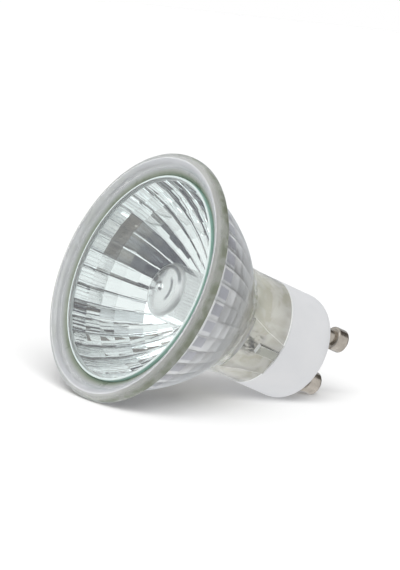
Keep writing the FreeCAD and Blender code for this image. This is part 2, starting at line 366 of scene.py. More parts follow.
def lead(tree, value, label):
    """Feed a socket of the material's main shader."""
    feed(tree, shader_socket(tree, label), value)


def add_node(tree, kind, inputs=None, **settings):
    """A node with these settings, whose inputs are fed by label or by number."""
    node = tree.nodes.new(kind)
    for key, value in settings.items():
        setattr(node, key, value)
    for label, value in (inputs or {}).items():
        feed(tree, node.inputs[label], value)
    return node


def object_place(tree):
    return add_node(tree, "ShaderNodeTexCoord").outputs["Object"]


def add_split(tree, where):
    """The three coordinates of a place."""
    return add_node(tree, "ShaderNodeSeparateXYZ", {0: where}).outputs


def add_stretch(tree, where, scale):
    """A place scaled along each axis, which draws a pattern out."""
    return add_node(tree, "ShaderNodeMapping", {"Vector": where, "Scale": scale}).outputs["Vector"]


def add_noise(tree, where, scale, detail, distortion=0.0):
    """The value of a noise pattern at a place."""
    inputs = {"Vector": where, "Scale": scale, "Detail": detail, "Distortion": distortion}
    return add_node(tree, "ShaderNodeTexNoise", inputs).outputs["Fac"]


def add_attribute(tree, name, output):
    return add_node(tree, "ShaderNodeAttribute", attribute_name=name).outputs[output]


def add_math(tree, operation, *values):
    """A Math node on sockets or plain numbers."""
    return add_node(tree, "ShaderNodeMath", dict(enumerate(values)), operation=operation).outputs[0]


def add_product(tree, first, *others):
    """The product of several sockets or plain numbers."""
    product = first
    for value in others:
        product = add_math(tree, "MULTIPLY", product, value)
    return product


def add_vector(tree, operation, *values):
    """A Vector Math node on sockets or plain vectors."""
    node = add_node(tree, "ShaderNodeVectorMath", dict(enumerate(values)), operation=operation)
    return node.outputs["Value" if operation in ("LENGTH", "DOT_PRODUCT") else "Vector"]


def add_range(tree, value, from_min, from_max, to_min, to_max):
    """A value moved from one range to another and clamped there."""
    inputs = {"Value": value, "From Min": from_min, "From Max": from_max,
              "To Min": to_min, "To Max": to_max}
    return add_node(tree, "ShaderNodeMapRange", inputs).outputs["Result"]


def soft_window(tree, value, low, high, fade):
    """One between two values and nothing outside them, with soft edges."""
    rise = add_range(tree, value, low, low + fade, 0, 1)
    fall = add_range(tree, value, high - fade, high, 1, 0)
    return add_product(tree, rise, fall)


def add_mix(tree, share, first, second):
    """A colour mixed from two colours or sockets."""
    inputs = {0: share, 6: first, 7: second}
    return add_node(tree, "ShaderNodeMix", inputs, data_type="RGBA").outputs[2]


def add_cloud(tree, scale):
    """Soft drifting patches, from nothing to one."""
    return add_range(tree, add_noise(tree, object_place(tree), scale, 2.0, 1.0), 0.42, 0.62, 0, 1)


def new_group(name, inputs, outputs):
    """A node group, with the sockets that it is given and the ones that it fills."""
    group = bpy.data.node_groups.new(name, "ShaderNodeTree")
    for label, kind in inputs:
        group.interface.new_socket(label, in_out="INPUT", socket_type=kind)
    for label, kind in outputs:
        group.interface.new_socket(label, in_out="OUTPUT", socket_type=kind)
    return group, group.nodes.new("NodeGroupInput").outputs, group.nodes.new("NodeGroupOutput").inputs


def make_relief_group():
    """Unevenness of a cast or pressed surface: a slow swell with a finer grain on it."""
    group, given, result = new_group(
        "surface_relief",
        [("Vector", "NodeSocketVector"), ("Swell Scale", "NodeSocketFloat"),
         ("Grain Scale", "NodeSocketFloat"), ("Grain Share", "NodeSocketFloat")],
        [("Height", "NodeSocketFloat")])
    swell = add_noise(group, given["Vector"], given["Swell Scale"], 1.0)
    grain = add_noise(group, given["Vector"], given["Grain Scale"], 3.0)
    inputs = {"Factor": given["Grain Share"], "A": swell, "B": grain}
    mix = add_node(group, "ShaderNodeMix", inputs, data_type="FLOAT")
    feed(group, result["Height"], mix.outputs["Result"])
    return group


def make_tone_group():
    """A colour that drifts between two tones over the surface."""
    group, given, result = new_group(
        "tone_drift",
        [("Vector", "NodeSocketVector"), ("Scale", "NodeSocketFloat"),
         ("Tone A", "NodeSocketColor"), ("Tone B", "NodeSocketColor")],
        [("Color", "NodeSocketColor"), ("Mask", "NodeSocketFloat")])
    mask = add_range(group, add_noise(group, given["Vector"], given["Scale"], 4.0), 0.35, 0.65, 0, 1)
    feed(group, result["Color"], add_mix(group, mask, given["Tone A"], given["Tone B"]))
    feed(group, result["Mask"], mask)
    return group


RELIEF = make_relief_group()
TONE = make_tone_group()


def add_relief(tree, relief, height):
    """Bump the surface with the shared relief; height is the depth of the relief in metres."""
    swell, grain, share = relief
    inputs = {"Vector": object_place(tree), "Swell Scale": swell, "Grain Scale": grain,
              "Grain Share": share}
    group = add_node(tree, "ShaderNodeGroup", inputs, node_tree=RELIEF)
    bump = add_node(tree, "ShaderNodeBump", {"Distance": height, "Height": group.outputs["Height"]})
    lead(tree, bump.outputs["Normal"], "Normal")


def add_tone(tree, scale, tones):
    """Let the base colour drift between two tones, and give the drift's outputs."""
    inputs = {"Vector": object_place(tree), "Scale": scale, "Tone A": tones[0], "Tone B": tones[1]}
    group = add_node(tree, "ShaderNodeGroup", inputs, node_tree=TONE)
    lead(tree, group.outputs["Color"], "Base Color")
    return group.outputs


def make_glass(name, clear, roughness, relief, height, tint=(1, 1, 1), ior=GLASS_IOR):
    """Glass that lets through a share of the light, with an uneven surface."""
    material, tree = new_material(name)
    lead(tree, tint, "Base Color")
    lead(tree, roughness, "Roughness")
    lead(tree, ior, "IOR")
    lead(tree, clear, "Transmission Weight")
    add_relief(tree, relief, height)
    return material


def make_matt(name, tone_scale, tones, rough, relief, height):
    """A solid surface whose tone and roughness drift together."""
    material, tree = new_material(name)
    drift = add_tone(tree, tone_scale, tones)
    lead(tree, add_range(tree, drift["Mask"], 0, 1, *rough), "Roughness")
    add_relief(tree, relief, height)
    return material


def make_metal(name, tone_scale, tones, rough, relief, height):
    """A metal surface whose tone and roughness drift together."""
    material = make_matt(name, tone_scale, tones, rough, relief, height)
    lead(material.node_tree, 1.0, "Metallic")
    return material


# Materials
def column_places(tree):
    """A point's place across its facet column, from 0 to 1, and the column's width there."""
    across, along = add_split(tree, object_place(tree))[:2]
    turn = add_math(tree, "ARCTAN2", along, across)
    share = add_math(tree, "FRACT", add_product(tree, turn, 1 / COLUMN_TURN))
    squares = add_math(tree, "ADD", add_product(tree, across, across), add_product(tree, along, along))
    width = add_product(tree, add_math(tree, "SQRT", squares), COLUMN_TURN)
    return share, width


def add_groove_shade_mask(tree, share, width):
    """Painted shade: thin broken dark lines along the grooves at the borders of the facet columns, with
    fainter ones beside them.
    """
    off_middle = add_math(tree, "ABSOLUTE", add_math(tree, "SUBTRACT", share, 0.5))
    off_border = add_math(tree, "SUBTRACT", 0.5, off_middle)
    distance = add_product(tree, off_border, width)
    painted_shade_line = add_range(tree, distance, GROOVE_HALF_WIDTH, 2.2 * GROOVE_HALF_WIDTH, 1, 0)
    beside = add_math(tree, "ABSOLUTE", add_math(tree, "SUBTRACT", off_border, GROOVE_COMPANION))
    thin = add_range(tree, add_product(tree, beside, width), 0.4 * GROOVE_HALF_WIDTH,
                     GROOVE_HALF_WIDTH, 0.7, 0)
    noise = add_noise(tree, object_place(tree), 260.0, 3.0)
    broken = add_range(tree, noise, 0.42, 0.54, 0.1, 1)
    sparse = add_range(tree, noise, 0.58, 0.46, 0, 1)
    return add_math(tree, "MAXIMUM", add_product(tree, painted_shade_line, broken), add_product(tree, thin, sparse))


def make_mirror(name):
    """Mirror film: bright on the bowl's side, pale with one ring of lilac cells behind the glass.

    Each facet has its own tone and lean by the mesh's attributes, and some carry a painted dark
    reflection.
    """
    material, tree = new_material(name)
    lead(tree, 1.0, "Metallic")
    tone = add_attribute(tree, "facet_tone", "Fac")
    cell = add_attribute(tree, "facet_cell", "Fac")
    painted_dark = add_attribute(tree, "facet_dark_reflection", "Fac")
    tilt = add_attribute(tree, "facet_tilt", "Vector")
    side = add_node(tree, "ShaderNodeNewGeometry")
    rear = side.outputs["Backfacing"]
    share, width = column_places(tree)
    front = add_mix(tree, tone, (0.89, 0.91, 0.91), (0.96, 0.97, 0.97))
    # Painted dark reflection: some facets are darkened towards brown-black
    front = add_mix(tree, painted_dark, front, (0.12, 0.10, 0.08))
    # Painted shade along the grooves between the facet columns
    front = add_mix(tree, add_groove_shade_mask(tree, share, width), front, (0.10, 0.11, 0.13))
    pale = add_mix(tree, tone, (0.72, 0.74, 0.76), (0.90, 0.91, 0.92))
    window = add_product(tree, add_range(tree, share, 0.10, 0.16, 0, 1),
                         add_range(tree, share, 0.72, 0.80, 1, 0))
    back = add_mix(tree, add_product(tree, cell, window), pale, (0.40, 0.41, 0.47))
    lead(tree, add_mix(tree, rear, front, back), "Base Color")
    lead(tree, add_range(tree, rear, 0, 1, 0.05, 0.3), "Roughness")
    lean = add_vector(tree, "ADD", side.outputs["Normal"], tilt)
    lead(tree, add_vector(tree, "NORMALIZE", lean), "Normal")
    return material


def make_cover_edge(name):
    """Ground edge of the front glass: teal from outside, and painted white as a painted highlight where
    it is seen through the glass.
    """
    material, tree = new_material(name)
    drift = add_tone(tree, 300, ((0.46, 0.74, 0.67), (0.56, 0.80, 0.74)))
    rear = add_node(tree, "ShaderNodeNewGeometry").outputs["Backfacing"]
    # Painted highlight: the side seen through the glass is white
    lead(tree, add_mix(tree, rear, drift["Color"], (0.97, 0.98, 0.98)), "Base Color")
    lead(tree, add_range(tree, rear, 0, 1, 0.35, 0.6), "Roughness")
    add_relief(tree, GROUND_RELIEF, 0.02 * MM)
    return material


def make_sealant(name):
    """Cured sealant, olive beside the front glass and greyer towards the rim."""
    material = make_matt(name, 350, ((0.22, 0.25, 0.19), (0.30, 0.33, 0.27)), (0.25, 0.45),
                         (300, 1500, 0.4), 0.05 * MM)
    tree = material.node_tree
    olive = shader_socket(tree, "Base Color").links[0].from_socket
    reach = add_vector(tree, "LENGTH", object_place(tree))
    outward = add_range(tree, reach, COVER_RADIUS + BEAD_OLIVE_WIDTH, BEAD_RADIUS, 0, 1)
    lead(tree, add_mix(tree, outward, olive, (0.47, 0.485, 0.50)), "Base Color")
    return material


def make_bowl_glass(name):
    """Clear pressed glass of the bowl, olive in patches towards the neck."""
    material = make_glass(name, 0.83, 0.05, PRESSED_RELIEF, 0.25 * MM)
    tree = material.node_tree
    height = add_split(tree, object_place(tree))[2]
    stain = add_product(tree, add_range(tree, height, *BOWL_STAIN, 0, 1), add_cloud(tree, 420))
    lead(tree, add_mix(tree, stain, (0.97, 0.975, 0.975), (0.72, 0.73, 0.62)), "Base Color")
    return material


def make_rim_glass(name):
    """Pressed glass of the rim, stained olive in patches towards its back edge."""
    material = make_glass(name, 0.7, 0.12, PRESSED_RELIEF, 0.3 * MM)
    tree = material.node_tree
    where = object_place(tree)
    depth = add_range(tree, add_split(tree, where)[2], *RIM_STAIN, 0, 1)
    patch = add_range(tree, add_noise(tree, where, 420.0, 4.0), 0.40, 0.58, 0.45, 1)
    stain = add_product(tree, depth, patch)
    lead(tree, add_mix(tree, stain, (0.85, 0.86, 0.82), (0.35, 0.39, 0.26)), "Base Color")
    return material


def flat_places(tree):
    """Distance along and out from each neck flat, the same way round on both, and the height."""
    where = object_place(tree)
    along = add_vector(tree, "DOT_PRODUCT", where, (math.cos(FLAT_TURN), math.sin(FLAT_TURN), 0))
    outward = add_vector(tree, "DOT_PRODUCT", where, (-math.sin(FLAT_TURN), math.cos(FLAT_TURN), 0))
    across = add_product(tree, along, add_math(tree, "SIGN", outward))
    return across, add_math(tree, "ABSOLUTE", outward), add_split(tree, where)[2]


def make_neck_glass(name):
    """Milky glass of the neck, with painted dark refraction in crumples, a darker key on each flat, and
    painted shade along each key's edge.
    """
    material = make_glass(name, 0.6, 0.08, PRESSED_RELIEF, 0.35 * MM)
    tree = material.node_tree
    across, depth, height = flat_places(tree)
    on_flat = add_range(tree, depth, *FLAT_SHOWS, 0, 1)
    drawn = add_stretch(tree, object_place(tree), (1, 1, 0.4))
    crumple = add_range(tree, add_noise(tree, drawn, 1500.0, 6.0, 0.4), 0.40, 0.56, 0, 1)
    patch = add_product(tree, soft_window(tree, across, *CRUMPLE_ACROSS),
                        soft_window(tree, height, *CRUMPLE_ALONG))
    # Painted dark refraction: crumpled dark patches on the flats
    painted_dark = add_product(tree, patch, crumple, on_flat)
    along_key = add_product(tree, soft_window(tree, height, *KEY_ALONG), on_flat)
    key = add_product(tree, soft_window(tree, across, *KEY_ACROSS), along_key)
    # Painted shade along the key's edge
    painted_shade_line = add_product(tree, soft_window(tree, across, *KEY_SHADE_BORDER), along_key)
    tone = add_mix(tree, add_cloud(tree, 260), (0.985, 0.98, 0.94), (0.78, 0.78, 0.68))
    tone = add_mix(tree, key, tone, (0.66, 0.68, 0.62))
    tone = add_mix(tree, painted_shade_line, tone, (0.30, 0.31, 0.29))
    lead(tree, add_mix(tree, painted_dark, tone, (0.15, 0.155, 0.16)), "Base Color")
    return material


def make_quartz(name):
    """Quartz with a pearly bloom, rougher on the dome's bend, and painted grey arcs on the dome's front
    for the inner wall seen by refraction.
    """
    material = make_glass(name, 0.6, QUARTZ_ROUGHNESS[0], QUARTZ_RELIEF, 0.12 * MM,
                          tint=QUARTZ_WHITE, ior=QUARTZ_IOR)
    tree = material.node_tree
    lead(tree, QUARTZ_METALLIC, "Metallic")
    where = object_place(tree)
    height = add_split(tree, where)[2]
    flat = add_vector(tree, "MULTIPLY", where, (1, 1, 0))
    reach = add_vector(tree, "LENGTH", flat)
    heading = add_vector(tree, "NORMALIZE", flat)
    front = add_range(tree, height, *DOME_FRONT, 1, 0)
    bend = soft_window(tree, height, *DOME_BEND)
    lead(tree, add_range(tree, bend, 0, 1, *QUARTZ_ROUGHNESS), "Roughness")
    tone = QUARTZ_WHITE
    # Painted refraction: grey arcs where the inner wall would show through the dome
    for radius, half_width, middle, spread in CAPSULE_REFRACTION_ARCS:
        turn = add_vector(tree, "DOT_PRODUCT", heading, (math.cos(middle), math.sin(middle), 0))
        end = math.cos(spread)
        sector = add_range(tree, turn, end, end + 0.2, 0, 1)
        ring = soft_window(tree, reach, radius - half_width, radius + half_width, 0.6 * half_width)
        tone = add_mix(tree, add_product(tree, ring, sector, front), tone, (0.30, 0.31, 0.33))
    lead(tree, tone, "Base Color")
    return material


PRESSED_GLASS = make_bowl_glass("pressed_glass")
NECK_GLASS = make_neck_glass("neck_glass")
MOUTH_GLASS = make_glass("mouth_glass", 0.55, 0.2, PRESSED_RELIEF, 0.1 * MM, tint=(0.76, 0.775, 0.80))
# Near-opaque white glass: a painted highlight on the rounded edges of the neck's flats and keys and on
# the collar
EDGE_HIGHLIGHT_GLASS = make_glass("edge_highlight_glass", 0.1, 0.2, PRESSED_RELIEF, 0.1 * MM, tint=(0.97, 0.98, 0.98))
COVER_GLASS = make_glass("cover_glass", 1.0, 0.01, POLISHED_RELIEF, 0.01 * MM, tint=(0.955, 0.99, 0.985))
QUARTZ = make_quartz("quartz")
# Ground arris of the front glass, made pale and nearly opaque as a painted highlight along the edge
ARRIS_HIGHLIGHT_GLASS = make_glass("arris_highlight_glass", 0.15, 0.3, PRESSED_RELIEF, 0.05 * MM, tint=(0.86, 0.97, 0.955))
RIM_GLASS = make_rim_glass("rim_glass")
MIRROR_FILM = make_mirror("mirror_film")
SATIN_FILM = make_metal("satin_film", 300, ((0.95, 0.96, 0.96), (0.98, 0.985, 0.985)), (0.6, 0.75),
                        GROUND_RELIEF, 0.02 * MM)
COVER_EDGE = make_cover_edge("cover_edge")
SEALANT = make_sealant("sealant")
CERAMIC = make_matt("ceramic", 120, ((0.74, 0.75, 0.77), (0.78, 0.785, 0.80)), (0.45, 0.6),
                    (250, 4000, 0.5), 0.03 * MM)
CEMENT = make_matt("cement", 400, ((0.94, 0.925, 0.84), (0.98, 0.97, 0.92)), (0.7, 0.9),
                   (500, 3000, 0.6), 0.15 * MM)
NICKEL = make_metal("nickel", 500, ((0.36, 0.33, 0.29), (0.50, 0.46, 0.41)), (0.14, 0.28),
                    (600, 5000, 0.5), 0.015 * MM)
TUNGSTEN = make_metal("tungsten", 2000, ((0.84, 0.84, 0.83), (0.93, 0.93, 0.92)), (0.4, 0.55),
                      WIRE_RELIEF, 0.01 * MM)
MOLYBDENUM = make_metal("molybdenum", 1500, ((0.45, 0.44, 0.43), (0.58, 0.57, 0.56)), (0.25, 0.4),
                        WIRE_RELIEF, 0.01 * MM)


# Reflector: one glass pressing with the mirror film on its inner facets
def reflector_profile():
    """Closed profile from the spigot's tip along the outside to the rim and back along the inside."""
    bore = BORE_RADIUS - BOND
    spigot = SPIGOT_RADIUS + BOND
    shoulder = SHOULDER + BOND
    waist = place(WAIST_RADIUS, WAIST_HEIGHT)
    root = place(BOWL_ROOT_RADIUS, RIM_HEIGHT)
    aperture = place(APERTURE_RADIUS, COVER_BACK)
    throat = place(THROAT_RADIUS, THROAT_HEIGHT)
    bowl = bulged_arc(root, waist, BOWL_BULGE, BOWL_STEPS)
    facets = bulged_arc(aperture, throat, FACET_BULGE, FACET_RINGS)
    outside = [place(bore, SPIGOT_END), place(spigot, SPIGOT_END), place(spigot, shoulder),
               place(NECK_RADIUS, shoulder), place(NECK_RADIUS, SHOULDER - COLLAR_WIDTH),
               place(NECK_RADIUS, WAIST_HEIGHT + NECK_TAPER)]
    rim = [place(RIM_RADIUS, RIM_HEIGHT), place(RIM_RADIUS, 0), place(MOUTH_RADIUS, 0),
           place(SEAT_RADIUS, COVER_BACK)]
    return outside + bowl[::-1] + rim + facets + [place(bore, THROAT_HEIGHT)], facets


def crown_facets(piece, rings):
    """Set the facet rings as polygons whose sides bow towards the axis and dip at their ends."""
    half = COLUMN_TURN / 2
    for vertex in piece.data.vertices:
        spot = place(vertex.co.xy.length, vertex.co.z)
        if not any((spot - ring).length < POINT_SLACK for ring in rings):
            continue
        turn = math.atan2(vertex.co.y, vertex.co.x) % COLUMN_TURN - half
        chord = spot.x * math.cos(half) / math.cos(turn)
        share = abs(turn) / half
        half_width = spot.x * half
        crown = half_width * math.tan(FACET_CROWN) / 2 * (1 - share * share)
        past = max(0, share - GROOVE_START)
        groove = half_width * math.tan(GROOVE_SLOPE) / 2 * past * past / (1 - GROOVE_START)
        scale = (chord - crown + groove) / spot.x
        vertex.co.x *= scale
        vertex.co.y *= scale


def cut_neck_flats(piece):
    """Cut two sloping flats on opposite sides of the neck, each round a key that is left standing."""
    length = SHOULDER + FLAT_CUT_PAST - FLAT_START
    slope = (FLAT_DEPTH_AT_WAIST - FLAT_DEPTH_AT_BASE) / (SHOULDER - FLAT_START)
    for half_turn in (0, math.pi):
        bpy.ops.mesh.primitive_cube_add(size=1, location=(0, 0, 0))
        cutter = bpy.context.object
        for vertex in cutter.data.vertices:
            vertex.co.x *= FLAT_CUT_WIDTH
            vertex.co.z = FLAT_START + (vertex.co.z + 0.5) * length
            depth = FLAT_DEPTH_AT_WAIST - slope * (vertex.co.z - FLAT_START)
            vertex.co.y = NECK_RADIUS - depth if vertex.co.y < 0 else NECK_RADIUS + FLAT_CUT_REACH
        bpy.ops.mesh.primitive_cube_add(size=1, location=(0, 0, 0))
        key = bpy.context.object
        for vertex in key.data.vertices:
            vertex.co.x = KEY_OFFSET + vertex.co.x * KEY_WIDTH
            vertex.co.y = NECK_RADIUS - KEY_INSET if vertex.co.y > 0 else 0
            vertex.co.z = SHOULDER + 2 * FLAT_CUT_PAST if vertex.co.z > 0 else SHOULDER - KEY_LENGTH
        apply_modifier(cutter, "BOOLEAN", object=key, operation="DIFFERENCE", solver="EXACT")
        cutter.data.transform(Matrix.Rotation(FLAT_TURN + half_turn, 4, "Z"))
        apply_modifier(piece, "BOOLEAN", object=cutter, operation="DIFFERENCE", solver="EXACT")
        bpy.data.objects.remove(key)
        bpy.data.objects.remove(cutter)


def round_flat_edges(piece):
    """Soften the edges that the flats and keys leave on the neck; give the new faces' numbers."""
    bpy.ops.object.mode_set(mode="EDIT")
    bpy.ops.mesh.select_all(action="DESELECT")
    bpy.ops.mesh.select_mode(type="EDGE")
    bpy.ops.object.mode_set(mode="OBJECT")
    mesh = piece.data
    faces_of = {}
    for polygon in mesh.polygons:
        for key in polygon.edge_keys:
            faces_of.setdefault(key, []).append(polygon.normal)
    for edge in mesh.edges:
        sides = faces_of.get(tuple(sorted(edge.vertices)), [])
        if len(sides) != 2 or sides[0].angle(sides[1]) < FLAT_EDGE_ANGLE:
            continue
        spots = [mesh.vertices[index].co for index in edge.vertices]
        on_neck = all(spot.xy.length > NECK_INSIDE and spot.z > FLAT_EDGE_LOW for spot in spots)
        edge.select = on_neck and min(spot.z for spot in spots) < FLAT_EDGE_HIGH
    bpy.ops.object.mode_set(mode="EDIT")
    bpy.ops.mesh.bevel(offset=FLAT_EDGE_ROUND, segments=3, affect="EDGES", clamp_overlap=True)
    bpy.ops.object.mode_set(mode="OBJECT")
    return [polygon.index for polygon in mesh.polygons if polygon.select]


def mark_outer_face(polygon):
    """Satin film on the ledge behind the front glass, glass of their own on rim, mouth and neck, and a
    painted highlight on the collar.
    """
    reach = polygon.center.xy.length
    height = polygon.center.z
    if polygon.normal.z < -END_FACING and abs(height - COVER_BACK) < FACE_SLACK:
        polygon.material_index = LEDGE_FACE
    elif SEAT_RADIUS < reach < MOUTH_RADIUS + MOUTH_ROUND and height < COVER_BACK:
        polygon.material_index = MOUTH_FACE
    elif reach > SEAT_RADIUS and height < RIM_HEIGHT + FACE_SLACK:
        polygon.material_index = RIM_FACE
    elif height > FLAT_START and reach > NECK_INSIDE and polygon.material_index == BOWL_FACE:
        on_collar = height > SHOULDER - COLLAR_WIDTH and reach > NECK_RADIUS - COLLAR_DEPTH
        polygon.material_index = EDGE_HIGHLIGHT_FACE if on_collar else NECK_FACE


def mark_faces(piece, rings):
    """Give each face its material slot, and say in which column and ring each film face lies."""
    facets = {}
    for polygon in piece.data.polygons:
        centre = polygon.center
        inward = polygon.normal.xy.dot(centre.xy) < 0
        level = rings[0].y - POINT_SLACK < centre.z < rings[-1].y + POINT_SLACK
        if not (inward and level and FILM_INSIDE < centre.xy.length <= APERTURE_RADIUS):
            mark_outer_face(polygon)
            continue
        polygon.material_index = FILM_FACE
        column = int((math.atan2(centre.y, centre.x) % (2 * math.pi)) / COLUMN_TURN)
        ring = min(sum(1 for edge in rings[1:] if centre.z > edge.y), FACET_RINGS - 1)
        facets[polygon.index] = (column, ring)
    return facets


def mark_facets(piece, facets):
    """Attributes of each film face: its facet's tone, lilac cell, painted dark reflection, and tilt with
    swing.
    """
    mesh = piece.data
    draw = random.Random(TILT_SEED)
    leans = {}
    for column in range(FACET_COLUMNS):
        for ring in range(FACET_RINGS):
            leans[column, ring] = [draw.uniform(-TILT_SPREAD, TILT_SPREAD) for axis in range(3)]
    names = ("facet_tone", "facet_cell", "facet_dark_reflection", "facet_tilt")
    for name in names:
        mesh.attributes.new(name, "FLOAT_VECTOR" if name == "facet_tilt" else "FLOAT", "FACE")
    tones, cells, dark_reflection_shares, tilts = [mesh.attributes[name].data for name in names]
    for index, (column, ring) in facets.items():
        tones[index].value = (column * 7 + ring * 11) % 13 / 12
        cells[index].value = 1 if ring == LILAC_RING else 0
        dark_reflection_shares[index].value = DARK_REFLECTION_CELLS.get((column, ring), 0)
        turn = (column + 0.5) * COLUMN_TURN
        swing = FACET_SWINGS.get(column, 0)
        bent = (-math.sin(turn) * swing, math.cos(turn) * swing, 0)
        tilts[index].vector = [leans[column, ring][axis] + bent[axis] for axis in range(3)]


def mark_sharp_facets(piece):
    """Crisp edges round the facets; the other edges keep what the smoothing gave them."""
    mesh = piece.data
    film = set()
    for polygon in mesh.polygons:
        if polygon.material_index == FILM_FACE:
            film.update(polygon.vertices)
    for edge in mesh.edges:
        if edge.vertices[0] not in film or edge.vertices[1] not in film:
            continue
        first = mesh.vertices[edge.vertices[0]].co
        second = mesh.vertices[edge.vertices[1]].co
        level = abs(first.z - second.z) < POINT_SLACK
        turn = math.atan2(first.y, first.x) % COLUMN_TURN
        corner = min(turn, COLUMN_TURN - turn) < ANGLE_SLACK and not level
        edge.use_edge_sharp = level or corner


def build_reflector():
    profile, rings = reflector_profile()
    piece = turn_profile("reflector_pressing", profile, ROUND_STEPS, joined=True)
    crown_facets(piece, rings)
    rounds = [(RIM_RADIUS, 0, RIM_FRONT_ROUND, 10), (RIM_RADIUS, RIM_HEIGHT, RIM_BACK_ROUND, 4),
              (MOUTH_RADIUS, 0, MOUTH_ROUND, 8), (WAIST_RADIUS, WAIST_HEIGHT, WAIST_ROUND, 5),
              (BOWL_ROOT_RADIUS, RIM_HEIGHT, BOWL_ROOT_ROUND, 3)]
    for radius, height, offset, segments in rounds:
        round_ring(piece, place(radius, height), offset, segments)
    cut_neck_flats(piece)
    flat_edges = round_flat_edges(piece)
    smooth(piece, REFLECTOR_CREASE)
    give_material(piece, PRESSED_GLASS, MIRROR_FILM, RIM_GLASS, MOUTH_GLASS, EDGE_HIGHLIGHT_GLASS, NECK_GLASS,
                  SATIN_FILM)
    # Painted highlight on the rounded edges of the flats and keys
    for index in flat_edges:
        piece.data.polygons[index].material_index = EDGE_HIGHLIGHT_FACE
    mark_facets(piece, mark_faces(piece, rings))
    mark_sharp_facets(piece)
    return piece


reflector = build_reflector()
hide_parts("reflector")
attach(reflector, "root")


# Front glass with its ground edge
def build_front_glass():
    edge = COVER_RADIUS - BOND
    profile = [place(edge - ARRIS_WIDTH, COVER_FRONT), place(edge - COVER_CHAMFER, COVER_FRONT),
               place(edge, COVER_FRONT + COVER_CHAMFER), place(edge, COVER_BACK - BOND)]
    piece = turn_profile("front_glass_disc", profile, ROUND_STEPS, joined=False)
    give_material(piece, COVER_GLASS, COVER_EDGE, ARRIS_HIGHLIGHT_GLASS)
    for polygon in piece.data.polygons:
        if abs(polygon.normal.z) < SIDE_FACING:
            polygon.material_index = GROUND_FACE
        elif polygon.center.xy.length > edge - ARRIS_WIDTH:
            polygon.material_index = ARRIS_FACE
        else:
            polygon.material_index = DISC_FACE
    smooth(piece, COVER_CREASE)
    return piece


front_glass = build_front_glass()
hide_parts("front_glass")
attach(front_glass, "root")


# Bead of sealant with a hollow front
def build_sealant():
    inner = COVER_RADIUS - BOND / 2
    back = COVER_BACK - BOND / 2
    outer_front = place(BEAD_RADIUS + BOND, BEAD_FRONT)
    inner_front = place(inner, COVER_FRONT + COVER_PROUD)
    hollow = bulged_arc(inner_front, outer_front, BEAD_HOLLOW, BEAD_STEPS)
    profile = hollow + [place(SEAT_RADIUS + BOND, back), place(inner, back)]
    piece = turn_profile("sealant_bead", profile, ROUND_STEPS, joined=True)
    give_material(piece, SEALANT)
    smooth(piece, BEAD_CREASE)
    return piece


sealant = build_sealant()
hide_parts("front_glass_sealant")
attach(sealant, "root")


# Quartz capsule
def shallow_dome(radius, front, edge_round, start):
    """Profile of a shallow dome on a tube, from a distance off the axis to the tube's side."""
    bend = (radius ** 2 + DOME_RISE ** 2) / (2 * DOME_RISE)
    reach = math.asin((radius - edge_round) / (bend - edge_round))
    edge_height = front + bend - (bend - edge_round) * math.cos(reach)
    first = math.asin(start / bend)
    points = []
    for step in range(DOME_STEPS + 1):
        angle = first + (reach - first) * step / DOME_STEPS
        points.append(place(bend * math.sin(angle), front + bend - bend * math.cos(angle)))
    for step in range(1, DOME_STEPS + 1):
        angle = reach + (math.pi / 2 - reach) * step / DOME_STEPS
        points.append(place(radius - edge_round + edge_round * math.sin(angle),
                            edge_height - edge_round * math.cos(angle)))
    return points


def squeeze_pinch(piece):
    """Draw the tube's open end out, flattening it step by step into the pinch."""
    bpy.ops.object.mode_set(mode="EDIT")
    bpy.ops.mesh.select_all(action="DESELECT")
    bpy.ops.object.mode_set(mode="OBJECT")
    for polygon in piece.data.polygons:
        polygon.select = polygon.normal.z > END_FACING and polygon.center.z > TUBE_END - POINT_SLACK
    bpy.ops.object.mode_set(mode="EDIT")
    bpy.ops.mesh.select_mode(type="FACE")
    rise = (0, 0, PINCH_RUN / PINCH_STEPS)
    thick = 1.0
    wide = 1.0
    for step in range(1, PINCH_STEPS + 1):
        share = (1 - math.cos(math.pi * step / PINCH_STEPS)) / 2
        next_thick = 1 + (PINCH_HALF_THICKNESS / CAPSULE_RADIUS - 1) * share
        next_wide = 1 + (PINCH_HALF_WIDTH / CAPSULE_RADIUS - 1) * share
        bpy.ops.mesh.extrude_region_move(TRANSFORM_OT_translate={"value": rise})
        bpy.ops.transform.resize(value=(next_wide / wide, next_thick / thick, 1))
        thick = next_thick
        wide = next_wide
    run = (0, 0, PINCH_END - TUBE_END - PINCH_RUN)
    bpy.ops.mesh.extrude_region_move(TRANSFORM_OT_translate={"value": run})
    bpy.ops.object.mode_set(mode="OBJECT")


def build_capsule():
    outer = [place(radius * MM, EXHAUST_TIP + height * MM) for radius, height in TIP_PROFILE]
    outer += shallow_dome(CAPSULE_RADIUS, CAPSULE_FRONT, DOME_EDGE_ROUND, EXHAUST_RADIUS)
    outer += [place(CAPSULE_RADIUS, TUBE_END)]
    piece = turn_profile("burner_capsule", outer, CAPSULE_STEPS, joined=False)
    squeeze_pinch(piece)
    bore = CAPSULE_RADIUS - CAPSULE_WALL
    inner = shallow_dome(bore, CAPSULE_FRONT + CAPSULE_WALL, DOME_EDGE_ROUND - CAPSULE_WALL,
                         HOLLOW_TOP_RADIUS)
    inner += [place(bore * share, TUBE_END + height * MM) for share, height in HOLLOW_PROFILE]
    hollow = turn_profile("burner_hollow", inner, CAPSULE_STEPS, joined=False)
    hollow.data.flip_normals()
    activate(piece)
    hollow.select_set(True)
    bpy.ops.object.join()
    give_material(piece, QUARTZ)
    smooth(piece, CAPSULE_CREASE)
    return piece


capsule = build_capsule()
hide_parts("burner_envelope")
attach(capsule, "root")

